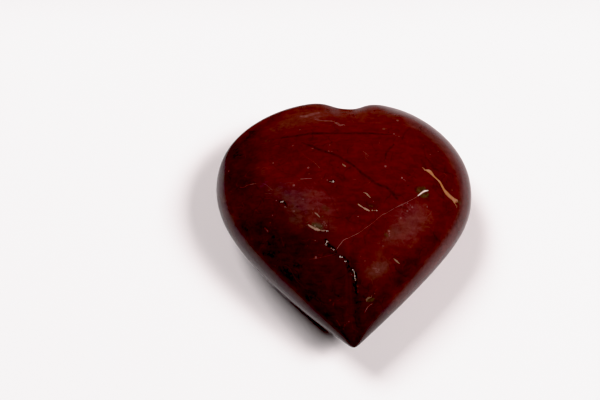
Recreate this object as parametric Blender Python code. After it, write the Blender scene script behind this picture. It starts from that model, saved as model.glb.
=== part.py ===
"""A red jasper puffy heart: one hand-ground, polished stone that lies on its rounded belly.

The heart lies flat, with its tip towards -Y, its cleft towards +Y and its upper face towards +Z. The origin
is on the surface that it rests on, under the middle of its outline.
"""

import bpy
import bmesh
import math
import numpy as np
from mathutils import Vector
from mathutils.geometry import interpolate_bezier
from typing import NamedTuple

MM = 0.001


class Lobe(NamedTuple):
    """One half of the outline, in millimetres in the drawing, with X to the right and Y up to the cleft."""
    top: tuple          # its highest point
    widest: tuple       # its outermost point
    crown: float        # how far the curve runs level from the top, as a share of the way out
    shoulder: float     # how far it runs upright into the widest point, as a share of the way down
    flank: float        # how far it runs upright below the widest point, as a share of the way down
    toe: float          # how far it runs straight out of the tip, as a share of the way to the widest point
    slope: float        # the slope of that straight stretch


# The outline: the left lobe is a little fuller and wider than the right, as it was ground by hand
TIP = (-0.1, 0.15)
CLEFT = (-0.6, 74.2)
RIGHT_LOBE = Lobe(top=(6.2, 77.5), widest=(36.5, 49.3), crown=0.40, shoulder=0.57, flank=0.22, toe=0.78,
                  slope=math.radians(42.5))
LEFT_LOBE = Lobe(top=(-9.4, 77.8), widest=(-41.5, 50.0), crown=0.30, shoulder=0.71, flank=0.21, toe=0.69,
                 slope=math.radians(36.1))
CLEFT_ROUNDING = 0.5

# How many waves round the outline the grinding leaves before it rounds everything off, and how many it leaves
# near the tip, which is the sharpest corner. Turns go round the outline from 0 at the tip by the right lobe;
# the cleft is near half a turn, which is pi.
SHARPEST_WAVE = 22.0
TIP_WAVE = 45.0
TIP_ZONE = 0.3

# The puffed body: its height above and below the rim, and the share of the outline that the flat spot under
# the belly takes
UPPER_HEIGHT = 16.5 * MM
LOWER_HEIGHT = 16.5 * MM
REST_SPOT = 0.15

# Towards the cleft the section is leaner than an ellipse: it comes down straighter, to a sharper edge that
# sits a little above the level rim, and higher still where the cleft cuts into the dome. The lean end fades
# within a short stretch on both sides.
LEAN = 0.9
LEAN_AT = math.pi + 0.37
LEAN_REACH = 0.89
LEAN_BLUNTNESS = 8
LEAN_EDGE = 0.03
LEAN_FROM = 0.55
LEAN_RIM_RISE = 1.5 * MM
CLEFT_AT = math.pi - 0.08
CLEFT_REACH = 0.11
CLEFT_RIM_RISE = 2.0 * MM

# Towards the tip it is a little leaner again, and most of all right at the tip
TIP_LEAN = 0.35
TIP_LEAN_REACH = 0.75
NOSE_LEAN = 0.3
NOSE_REACH = 0.06

# How finely the stone is faceted
CURVE_STEPS = 60
AROUND = 120
RINGS_UP = 17
RINGS_DOWN = 16

JASPER_RED = (0.090, 0.006, 0.004, 1.0)
POLISH_ROUGHNESS = 0.16


def half_outline(lobe):
    """Points of one half of the outline, in millimetres, from the cleft over the lobe and down to the tip."""
    cleft = Vector((*CLEFT, 0.0))
    tip = Vector((*TIP, 0.0))
    top = Vector((*lobe.top, 0.0))
    widest = Vector((*lobe.widest, 0.0))
    across = Vector((top.x - cleft.x, 0.0, 0.0)) * CLEFT_ROUNDING
    outward = Vector((widest.x - top.x, 0.0, 0.0))
    drop = Vector((0.0, top.y - widest.y, 0.0))
    fall = Vector((0.0, widest.y - tip.y, 0.0))
    side = math.copysign(1.0, widest.x)
    up_flank = Vector((side * math.cos(lobe.slope), math.sin(lobe.slope), 0.0))
    reach = (widest - tip).length

    notch = interpolate_bezier(cleft, cleft + across, top - across, top, CURVE_STEPS)
    shoulder = interpolate_bezier(
        top, top + outward * lobe.crown, widest + drop * lobe.shoulder, widest, CURVE_STEPS)
    flank = interpolate_bezier(
        widest, widest - fall * lobe.flank, tip + up_flank * reach * lobe.toe, tip, CURVE_STEPS)
    return notch[:-1] + shoulder[:-1] + flank


def drawn_outline():
    """The whole outline as complex numbers in metres, evenly spaced from the tip round by the right lobe."""
    right = half_outline(RIGHT_LOBE)
    left = half_outline(LEFT_LOBE)
    loop = right[::-1] + left[1:]
    points = np.array([complex(p.x, p.y) for p in loop]) * MM
    along = np.concatenate([[0.0], np.cumsum(np.abs(np.diff(points)))])
    stations = np.linspace(0.0, along[-1], AROUND, endpoint=False)
    return np.interp(stations, along, points.real) + 1j * np.interp(stations, along, points.imag)


def turns():
    """The turn of each station of the outline."""
    return np.linspace(0.0, 2 * math.pi, AROUND, endpoint=False)


def orders():
    """How often each of the outline's waves goes round it."""
    return np.abs(np.fft.fftfreq(AROUND, 1.0 / AROUND))


def hump(turn, middle, reach, power):
    """A smooth hump of height 1 round a turn of the outline."""
    away = (turn - middle + math.pi) % (2 * math.pi) - math.pi
    return np.exp(-np.abs(away / reach) ** power)


def rounded(outline):
    """The outline with its corners rounded off by the grinding, and least of all at the tip."""
    waves = np.fft.fft(outline)
    soft = np.fft.ifft(waves * np.exp(-((orders() / SHARPEST_WAVE) ** 2)))
    sharp = np.fft.ifft(waves * np.exp(-((orders() / TIP_WAVE) ** 2)))
    return soft + (sharp - soft) * hump(turns(), 0.0, TIP_ZONE, 2)


def heart_outline():
    """The ground outline, moved so that the middle of its extent is at the origin."""
    rim = rounded(drawn_outline())
    return rim - complex(rim.real.max() + rim.real.min(), rim.imag.max() + rim.imag.min()) / 2


def drawn_in(outline, share):
    """The outline drawn in towards the middle of the stone, to a share of its size. Each wave in it fades
    with its own power of the share, so the tip and the cleft melt into a plain oval towards the crown."""
    return np.fft.ifft(np.fft.fft(outline) * share ** orders())


def leanness(turn):
    """How far the section is from an ellipse (0) towards a lean, sharp-edged one (1) at each turn."""
    cleft_end = LEAN * hump(turn, LEAN_AT, LEAN_REACH, LEAN_BLUNTNESS)
    tip_end = TIP_LEAN * hump(turn, 0.0, TIP_LEAN_REACH, 2)
    return cleft_end + tip_end + NOSE_LEAN * hump(turn, 0.0, NOSE_REACH, 2)


def section(share, turn):
    """The height of the puffed section at a share of the way out to the rim, as a part of its full height."""
    rest = 1.0 - share ** 2
    full = np.sqrt(rest)
    lean = np.sqrt((rest ** 2 + LEAN_EDGE * rest) / (1.0 + LEAN_EDGE))
    start = np.clip((share - REST_SPOT) / (LEAN_FROM - REST_SPOT), 0.0, 1.0)
    return full - leanness(turn) * start ** 2 * (3.0 - 2.0 * start) * (full - lean)


def rim_rise(share, turn):
    """How far the stone's edge sits above the level rim at each turn, fading inwards."""
    outer = np.clip((share - REST_SPOT) / (1.0 - REST_SPOT), 0.0, 1.0)
    end = LEAN_RIM_RISE * hump(turn, LEAN_AT, LEAN_REACH, LEAN_BLUNTNESS) * outer ** 5
    return end + CLEFT_RIM_RISE * hump(turn, CLEFT_AT, CLEFT_REACH, 2) * outer ** 12


def add_ring(stone, outline, share, height):
    """Adds the vertices of one ring of a face with this full height, and returns them in order."""
    lift = height * section(share, turns()) + rim_rise(share, turns())
    return [stone.verts.new((p.real, p.imag, z)) for p, z in zip(drawn_in(outline, share), lift)]


def bridge(stone, outer, inner):
    """Joins two neighbouring rings with a band of faces."""
    for i in range(AROUND):
        j = (i + 1) % AROUND
        stone.faces.new((outer[i], outer[j], inner[j], inner[i]))


def puffed_face(stone, rim, outline, height, rings, last_share):
    """One puffed face of the heart, from the rim to the ring that has the last share of the outline's size.
    It returns that ring."""
    steepest = math.acos(last_share)
    outer = rim
    for i in range(1, rings + 1):
        inner = add_ring(stone, outline, math.cos(steepest * i / rings), height)
        bridge(stone, outer, inner)
        outer = inner
    return outer


def upper_face(stone, rim, outline):
    """The upper face, closed by a fan round the crown."""
    last_share = math.sin(math.pi / 2 / (RINGS_UP + 1))
    inner = puffed_face(stone, rim, outline, UPPER_HEIGHT, RINGS_UP, last_share)
    middle = outline.mean()
    crown = stone.verts.new((middle.real, middle.imag, UPPER_HEIGHT))
    for i in range(AROUND):
        stone.faces.new((inner[i], inner[(i + 1) % AROUND], crown))


def lower_face(stone, rim, outline):
    """The belly, which ends in the small flat spot that the stone rests on."""
    spot = puffed_face(stone, rim, outline, -LOWER_HEIGHT, RINGS_DOWN, REST_SPOT)
    stone.faces.new(spot)
    return spot[0].co.z


def jasper():
    """The stone's material: a deep, hard red with a high polish."""
    material = bpy.data.materials.new("red_jasper")
    material.use_nodes = True
    shader = material.node_tree.nodes["Principled BSDF"]
    shader.inputs["Base Color"].default_value = JASPER_RED
    shader.inputs["Roughness"].default_value = POLISH_ROUGHNESS
    shader.inputs["Metallic"].default_value = 0.0
    material.diffuse_color = JASPER_RED
    return material


def jasper_heart():
    """The whole stone, as one closed solid that stands on its flat spot."""
    outline = heart_outline()
    stone = bmesh.new()
    rim = add_ring(stone, outline, 1.0, UPPER_HEIGHT)
    upper_face(stone, rim, outline)
    lowest = lower_face(stone, rim, outline)
    bmesh.ops.translate(stone, verts=stone.verts, vec=(0.0, 0.0, -lowest))
    bmesh.ops.recalc_face_normals(stone, faces=stone.faces)
    mesh = bpy.data.meshes.new("jasper_heart")
    stone.to_mesh(mesh)
    stone.free()
    mesh.shade_smooth()
    mesh.materials.append(jasper())
    heart = bpy.data.objects.new("jasper_heart", mesh)
    bpy.context.scene.collection.objects.link(heart)
    return heart


def main():
    for thing in list(bpy.data.objects):
        bpy.data.objects.remove(thing)
    jasper_heart()


main()
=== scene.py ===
"""The looks of a red jasper puffy heart: the polished stone, its markings, and a plain pale setting."""

import math
from typing import NamedTuple

import bmesh
import bpy
import numpy as np
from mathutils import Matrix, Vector, noise
from mathutils.bvhtree import BVHTree
from mathutils.geometry import interpolate_bezier


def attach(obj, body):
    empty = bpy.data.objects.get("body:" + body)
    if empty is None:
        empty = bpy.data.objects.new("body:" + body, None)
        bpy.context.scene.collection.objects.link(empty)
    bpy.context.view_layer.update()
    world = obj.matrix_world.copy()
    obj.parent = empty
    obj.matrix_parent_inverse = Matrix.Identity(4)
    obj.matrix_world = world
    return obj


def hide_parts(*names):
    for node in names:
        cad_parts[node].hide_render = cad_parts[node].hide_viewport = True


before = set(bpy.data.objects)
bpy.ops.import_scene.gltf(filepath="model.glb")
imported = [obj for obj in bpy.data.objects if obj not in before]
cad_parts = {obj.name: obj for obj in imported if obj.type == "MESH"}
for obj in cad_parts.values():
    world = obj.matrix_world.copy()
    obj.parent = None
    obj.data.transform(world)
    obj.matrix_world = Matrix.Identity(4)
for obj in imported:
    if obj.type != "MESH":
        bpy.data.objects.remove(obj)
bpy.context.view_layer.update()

MM = 0.001


class Lobe(NamedTuple):
    """One half of the outline, in millimetres from the tip, with X to the right and Y up to the cleft."""
    top: tuple          # its highest point
    widest: tuple       # its outermost point
    crown: float        # how far the curve runs level from the top, as a share of the way out
    shoulder: float     # how far it runs upright into the widest point, as a share of the way down
    flank: float        # how far it runs upright below the widest point, as a share of the way down
    toe: float          # how far it runs straight out of the tip, as a share of the way to the widest point
    slope: float        # the slope of that straight stretch


# The outline: the left lobe is a little fuller and wider than the right, as it was ground by hand
TIP = (-0.1, 0.15)
CLEFT = (-0.6, 74.2)
RIGHT_LOBE = Lobe(top=(6.2, 77.5), widest=(36.5, 49.3), crown=0.40, shoulder=0.57, flank=0.22, toe=0.78,
                  slope=math.radians(42.5))
LEFT_LOBE = Lobe(top=(-9.4, 77.8), widest=(-41.5, 50.0), crown=0.30, shoulder=0.71, flank=0.21, toe=0.69,
                 slope=math.radians(36.1))
CLEFT_ROUNDING = 0.5

# How many waves round the outline the grinding leaves, and how many near the tip, which is the sharpest
# corner. Turns go round the outline from 0 at the tip by the right lobe; the cleft is near half a turn.
SHARPEST_WAVE = 22.0
TIP_WAVE = 45.0
TIP_ZONE = 0.3

# The body's heights above and below the rim, and the share of the outline that its flat spot takes
UPPER_HEIGHT = 16.5 * MM
LOWER_HEIGHT = 16.5 * MM
REST_SPOT = 0.15
RIM_HEIGHT = LOWER_HEIGHT * math.sqrt(1.0 - REST_SPOT ** 2)

# Towards the cleft the section is leaner than an ellipse, and its edge is sharper and sits a little higher,
# most of all in the cleft. The lean end fades within a short stretch on both sides.
LEAN = 0.9
LEAN_AT = math.pi + 0.37
LEAN_REACH = 0.89
LEAN_BLUNTNESS = 8
LEAN_EDGE = 0.03
LEAN_FROM = 0.55
LEAN_RIM_RISE = 1.5 * MM
CLEFT_AT = math.pi - 0.08
CLEFT_REACH = 0.11
CLEFT_RIM_RISE = 2.0 * MM

# Towards the tip it is a little leaner again, and most of all right at the tip
TIP_LEAN = 0.35
TIP_LEAN_REACH = 0.75
NOSE_LEAN = 0.3
NOSE_REACH = 0.06

# The slight waves that grinding by hand leaves, which fade out below a height towards the rest spot
WAVE_DEPTH = 0.06 * MM
WAVE_SIZE = 14 * MM
WAVES_FROM = 2 * MM

# How finely the stone is meshed
CURVE_STEPS = 60
STATIONS = 512
RINGS = 108

# The camera
VIEW_ELEVATION = math.radians(71.0)
VIEW_DISTANCE = 0.3189
VIEW_AIM = Vector((-13.35, 6.98, 16.3)) * MM
VIEW_WIDTH = math.radians(32.0)
SENSOR_WIDTH = 36.0
FRAME = (600, 400)
PIXEL = 0.305 * MM      # what a pixel of the photograph spans on the stone

# Stone colours
CRIMSON = (0.069, 0.0146, 0.0146, 1.0)
BRICK = (0.073, 0.0164, 0.0145, 1.0)
RUST = (0.078, 0.0180, 0.0142, 1.0)
WINE = (0.042, 0.014, 0.017, 1.0)
UMBER = (0.043, 0.0168, 0.0148, 1.0)
DEEP_RED = (0.040, 0.008, 0.007, 1.0)
NEAR_BLACK = (0.014, 0.008, 0.007, 1.0)
DULL_BLACK = (0.023, 0.012, 0.010, 1.0)
OLIVE = (0.036, 0.023, 0.013, 1.0)
GREY_GREEN = (0.052, 0.038, 0.025, 1.0)
# The pale veils' colours, which also paint sheen and reflection onto the top
VEIL_AND_SHEEN = (0.088, 0.034, 0.028, 1.0)
ROSY_VEIL_AND_SHEEN = (0.115, 0.045, 0.039, 1.0)
FADED_PINK = (0.19, 0.062, 0.058, 1.0)
PALE_PINK = (0.26, 0.115, 0.105, 1.0)
CREAM = (0.27, 0.150, 0.115, 1.0)
TAN = (0.22, 0.125, 0.080, 1.0)
OCHRE = (0.265, 0.102, 0.041, 1.0)
PALE_OCHRE = (0.275, 0.128, 0.080, 1.0)
WHITE_QUARTZ = (0.60, 0.50, 0.46, 1.0)
WARM_QUARTZ = (0.48, 0.33, 0.29, 1.0)

# The near-black corner at the lower left and the red stone, with lengths in millimetres
ZONE_FACING = (0.72, 0.66, 0.2)     # the way from the one to the other
ZONE_EDGE = -4.0                    # where they meet on that way, from the middle
ZONE_BLEND = 5.0                    # half the width of the change
ZONE_WANDER = 13.0                  # how far its edge wanders
ZONE_FRAY = 7.0                     # how far it frays

# Streaks, darker seams and pale threads in the stone
STREAK_TURN = math.radians(38.0)
STREAK_STRETCH = (0.22, 1.0, 1.0)
SEAM_BEND = 7.0                     # how far seams and threads bend, in millimetres
SEAMS_PER_MM = 0.13
SEAM_SHADE = 0.22                   # how much darker a seam is
THREADS_PER_MM = 0.09
THREAD_STRENGTH = 0.14

# The polish, and the least and greatest roughness of the two stones
POLISH_IOR = 1.38
RIPPLE_SIZE = 2.4                   # in millimetres
RIPPLE_DEPTH = 0.012 * MM
JASPER_ROUGHNESS = (0.15, 0.24)
QUARTZ_ROUGHNESS = (0.08, 0.3)


class Finish(NamedTuple):
    """How one kind of mark looks. It thins out from start to end, in half widths from its middle line, and
    its edge wanders by up to half of ragged."""
    ragged: float
    start: float
    end: float
    colour: tuple
    second: tuple       # the colour that is mottled into the first
    cover: float        # how much of the stone's own colour it hides at full strength
    roughness: float


# The kinds of mark, in the order in which they lie over each other
FINISHES = {
    "black_patch": Finish(1.3, 0.0, 2.2, DULL_BLACK, UMBER, 0.8, 0.2),
    "olive_patch": Finish(1.1, 0.1, 1.8, OLIVE, GREY_GREEN, 0.8, 0.2),
    # Pale veils: the stone's own on the underside; on the top, painted sheen and painted reflection
    "pale_veil_and_painted_sheen": Finish(0.5, 0.0, 2.6, VEIL_AND_SHEEN, ROSY_VEIL_AND_SHEEN, 0.5, 0.2),
    "dark_vein": Finish(0.6, 0.2, 1.7, DEEP_RED, NEAR_BLACK, 0.65, 0.2),
    # Pits: near-black as painted shade in the hollows, with a dark mineral halo round them
    "pit": Finish(0.6, 0.5, 1.4, NEAR_BLACK, UMBER, 0.65, 0.55),
    "pale_line": Finish(0.7, 0.2, 1.2, FADED_PINK, PALE_PINK, 0.6, 0.24),
    "pale_speck": Finish(0.5, 0.1, 1.4, FADED_PINK, PALE_PINK, 0.9, 0.24),
    "cream_fleck": Finish(1.5, 0.35, 1.2, CREAM, TAN, 0.95, 0.26),
    "ochre_vein": Finish(0.7, 0.4, 1.1, OCHRE, PALE_OCHRE, 1.0, 0.28),
    "quartz": Finish(0.3, 0.6, 1.2, WARM_QUARTZ, WHITE_QUARTZ, 1.0, 0.2),
}
EDGE_GRAIN = 0.45       # the size of the lumps along a mark's edge, in millimetres


class Specks(NamedTuple):
    """Fine specks all through the stone. Their sizes are in millimetres."""
    spacing: float
    offset: tuple
    empty: float        # the share of places without a speck
    radius: float       # as a share of the spacing
    strength: float
    colour: tuple


SPECKS = (
    Specks(2.6, (3.0, 8.0, 1.0), 0.72, 0.075, 0.2, PALE_PINK),
    Specks(1.7, (9.0, 2.0, 7.0), 0.8, 0.10, 0.4, NEAR_BLACK),
)

# How marks are laid on the stone
PATH_STEPS = 4              # the points on a path from each given one to the next
THINNEST = 0.12             # the least half width, in the units of the path
WIDEST_SPREAD = 2.5         # how many times wider a mark may get where the stone slopes away
MARK_REACH = 2.5            # how far its coordinates run, in half widths
LEAST_REACH = 0.9 * MM
CORNER_REACH = 1.6          # how many times further they run in a corner
FAR = 20.0                  # the coordinate of what is beyond every mark

# Pits and the grains in them. Edges are in half widths from the middle line.
REFINED_TO = 1.9            # how far out the mesh is made finer
PIT_EDGE = 1.15
PIT_RAGGED = 0.35
PIT_SLOPE = 0.5
PIT_DEPTH = 0.32 * MM
PIT_FLOOR = 0.55            # the share of the depth that every pit has
PIT_ROUGHNESS = 0.45        # the share that depends on the lumps in its floor
PIT_LUMP = 0.5 * MM
BED_EDGE = 1.15
GRAIN_SPACING = 0.22 * MM
SMALLEST_GRAIN = 0.09 * MM
LARGEST_GRAIN = 0.2 * MM
DENSEST_GRAINS = 4e7        # to a square metre
GRAIN_TURNS = (6.28, 6.28, 6.28)

# The floor: a plain sheet with a bright part. Beyond it, to the sides and to the front, its colour is painted
# darker as shade where the light falls off
FLOOR_SIDES = (-0.4, 0.8)
FLOOR_ENDS = (-0.5, 0.11)
FLOOR_COLOUR = (0.825, 0.765, 0.77)
FLOOR_ROUGHNESS = 0.9
FLOOR_SHINE = 0.1
FLOOR_MIDDLE = (67 * MM, 7 * MM, 0.0)   # the middle of the bright part
FLOOR_LIT = (172 * MM, 62 * MM, 0.0)    # half the size of that part
FLOOR_FALL = (130 * MM, 70 * MM, 1.0)   # how far beyond it the floor is darkest
FLOOR_DARKEST = 0.4                     # how much of its colour is left there


class Lamp(NamedTuple):
    """A soft lamp that faces the stone, from an azimuth and an elevation in degrees. Its radiance is what a
    mirror would show, with a white sheet in the light at about 1. It either shows in the polish only, or
    lights the scene and leaves no highlight."""
    azimuth: float
    elevation: float
    distance: float
    size: tuple
    radiance: float
    colour: tuple = (1.0, 1.0, 1.0)
    in_polish: bool = True


LAMPS = {
    "right_lamp": Lamp(90, 54, 1.2, (0.45, 0.45), 22.8, in_polish=False),
    "left_lamp": Lamp(-44, 56, 1.2, (0.45, 0.45), 19.8, in_polish=False),
    "right_sheen": Lamp(117, 44, 1.0, (0.74, 0.50), 0.36, (1.0, 0.95, 0.84)),
    "left_sheen": Lamp(-82, 74, 1.0, (0.60, 0.54), 0.46, (1.0, 0.97, 0.97)),
}

# The room that shows in the polish: a warm glow low down behind, and a pale low wall to the right. Each grows
# from nothing to full between two heights, where 0 is level and 1 straight up, and between two side values,
# where 1 is straight at its azimuth. Past the floor, the camera itself sees a plain backdrop.
DIM_ROOM = (0.03, 0.029, 0.028, 1.0)
WARM_GLOW = (0.33, 0.09, 0.045, 1.0)
GLOW_AZIMUTH = 35
GLOW_HEIGHTS = (0.62, -0.1)
GLOW_SIDES = (-0.1, 0.7)
PALE_WALL = (0.56, 0.47, 0.45, 1.0)
WALL_AZIMUTH = 80
WALL_HEIGHTS = (0.22, 0.0)
WALL_SIDES = (0.35, 0.75)
BACKDROP = (0.42, 0.40, 0.40, 1.0)

# The picture's tones: what is darker than the first is black, and the highlights roll off below white
BLACK_CUT = 0.03
HIGHEST_TONE = 0.945
ROLL_HARDNESS = 7.3
ROLLED_LIGHTS = (0.6, 0.7, 0.8, 0.9, 1.0, 1.1, 1.25, 1.5, 2.0, 3.0)


class Mark(NamedTuple):
    """A stroke of colour or relief on the stone. Its path has points of x, y and half width: in pixels of the
    photograph's frame where it shows there, or in millimetres in plan where it is on the underside."""
    path: tuple
    strength: float = 1.0
    below: bool = False


def spots(strength, *places, below=False):
    """Single round marks, each given as x, y and half width."""
    return [Mark((place,), strength, below) for place in places]


# The ochre vein by the right lobe
OCHRE_VEIN = [
    Mark(((424.2, 170, 0.35), (426.6, 170.2, 1), (429.4, 171.4, 2), (431.6, 173.6, 1.6), (433.8, 176.2, 0.95),
          (436.8, 179, 0.85), (439.6, 181.6, 1.05), (441.6, 185, 1.15), (443.4, 188.6, 1.25),
          (445.6, 191.8, 1.7), (448.2, 194.8, 2), (451.4, 197.6, 1.8), (454.4, 199.6, 1.6),
          (457.4, 200.3, 0.7))),
    Mark(((453.4, 199.6, 1.5), (454.2, 201.2, 1.5), (454.7, 202.6, 0.8))),
    Mark(((-24, 10.2, 0.1), (-22.2, 9.3, 0.3), (-20.4, 8.9, 0.5), (-18.6, 7.7, 0.3), (-16.8, 7.7, 0.15),
          (-14.9, 6.7, 0.4), (-12.7, 6.4, 0.25), (-10.8, 5.2, 0.1)), 0.9, True),
    Mark(((-9.6, 4.3, 0.15), (-7.6, 3.1, 0.4), (-6, 2.7, 0.15)), 0.8, True),
]

# Clear white quartz: the lens by the ochre vein, and grains that sit in small pits
QUARTZ_LENS = [
    Mark(((417.8, 195.9, 0.3), (419.6, 194.5, 0.55), (421.6, 192.9, 0.75), (423.6, 191.5, 0.9),
          (425.2, 190.9, 0.8), (426.8, 190.7, 0.5), (429, 190.1, 0.2))),
    Mark(((14.4, 15.2, 0.1), (15.1, 13.6, 0.25), (15.4, 12.2, 0.3), (16, 11, 0.2), (16.1, 10, 0.1)),
          0.85, True),
]
QUARTZ_GRAINS = [
    Mark(((327.2, 241.4, 0.8), (325.8, 243.6, 1.2), (326.6, 245.4, 0.9))),
    Mark(((330.9, 247.6, 0.9), (331.7, 248.4, 0.9))),
    Mark(((333.4, 249.4, 0.8), (334.8, 250.2, 0.9), (335.9, 251.4, 0.7))),
    Mark(((340.6, 256.8, 0.8), (341.8, 257.3, 0.9))),
    Mark(((345.2, 261.5, 0.8), (346.6, 261.4, 0.9))),
    Mark(((349.4, 268.2, 0.8), (351, 269.5, 0.8), (352.6, 270.8, 0.9), (354, 272.2, 0.7))),
    Mark(((354.2, 274.2, 0.8), (354.4, 276.2, 1), (354.6, 278.2, 1.1), (355.3, 280, 0.8))),
    Mark(((330.3, 181.4, 0.8), (332.8, 181.4, 1.1))),
    Mark(((280.6, 201.7, 0.9), (282.6, 201.6, 0.9))),
    *spots(0.8, (376.9, 210.6, 0.8), (327.3, 231.2, 0.8)),
]

# Pits that the polish didn't reach, round the grains. Their near-black colour is painted shade in the
# hollows, with a dark mineral halo just round them.
PITS = [
    Mark(((325.5, 240.5, 2.2), (326.5, 244.5, 2.8), (330.5, 247.5, 2.2), (334.5, 250.5, 2.4),
          (333.5, 254.5, 2.2))),
    Mark(((339.5, 256.5, 1.4), (343.5, 258.5, 1.9), (347, 261.5, 2), (348, 266.5, 1.9), (351, 270.5, 2.2),
          (354.5, 275, 2.4), (355, 281, 2))),
    Mark(((355, 283.4, 1.3), (354.6, 286.8, 1.6), (355.2, 290, 1))),
    Mark(((355.9, 292.6, 0.9), (355.4, 294.4, 0.8))),
    Mark(((330, 181.4, 1.5), (333, 181.4, 1.7))),
    Mark(((279.6, 201.8, 1.6), (283, 202.2, 1.7), (285.5, 205.5, 1.3))),
]

# Opaque cream flecks
CREAM_FLECKS = [
    Mark(((357.9, 203.9, 0.5), (360.2, 205.6, 0.8), (362.6, 207.2, 0.5), (365, 208.6, 1), (367, 209.8, 1.2),
          (369, 210.6, 0.4))),
    *spots(0.7, (372.4, 210.4, 0.9), (376.2, 210.3, 0.7)),
    Mark(((308.4, 224.9, 0.7), (310.4, 226.2, 1), (312.4, 227.4, 0.9), (314.4, 228.4, 1.4),
          (316.4, 229.2, 1.8), (318.4, 229.8, 1.1), (320.2, 230.3, 0.5)), 0.9),
    Mark(((321.4, 230.4, 0.6), (323.4, 230.7, 0.8), (325.4, 230.5, 0.5)), 0.7),
    *spots(0.6, (317.4, 226.6, 0.5), (314.6, 225.4, 0.5), (328, 231, 0.6)),
    Mark(((314.8, 212.6, 0.4), (316.4, 213.8, 0.6), (318, 215.4, 0.7), (319.7, 217.1, 0.4)), 0.7),
    Mark(((394.6, 259.4, 0.4), (396.2, 260.7, 0.9), (398, 262.4, 0.8), (399.6, 263.8, 0.4)), 0.85),
    Mark(((342.4, 164.1, 0.6), (344, 165.2, 0.9), (345.6, 166.5, 0.6)), 0.6),
    Mark(((364.5, 192.4, 0.3), (366.8, 193.9, 0.9), (368.4, 195.6, 0.8), (370.6, 197.7, 0.4)), 0.7),
    Mark(((366.6, 301, 0.8), (366.9, 299.2, 1.2), (368.6, 297.7, 1.3), (370, 297.6, 0.6)), 0.35),
    Mark(((-1.4, 25.7, 0.1), (-0.2, 25.3, 0.25), (1, 24.4, 0.15)), 0.8, True),
    Mark(((8.6, -15, 0.1), (9.4, -16, 0.3), (10.6, -16.5, 0.15)), 0.8, True),
    Mark(((-27.2, 22.4, 0.1), (-26, 21.6, 0.25), (-25.4, 20.2, 0.15)), 0.6, True),
    *spots(0.7, (2, 24.2, 0.2), (11.9, -16.4, 0.15), (17.2, 8.8, 0.2), (-24.8, 19.4, 0.15), below=True),
]

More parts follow.
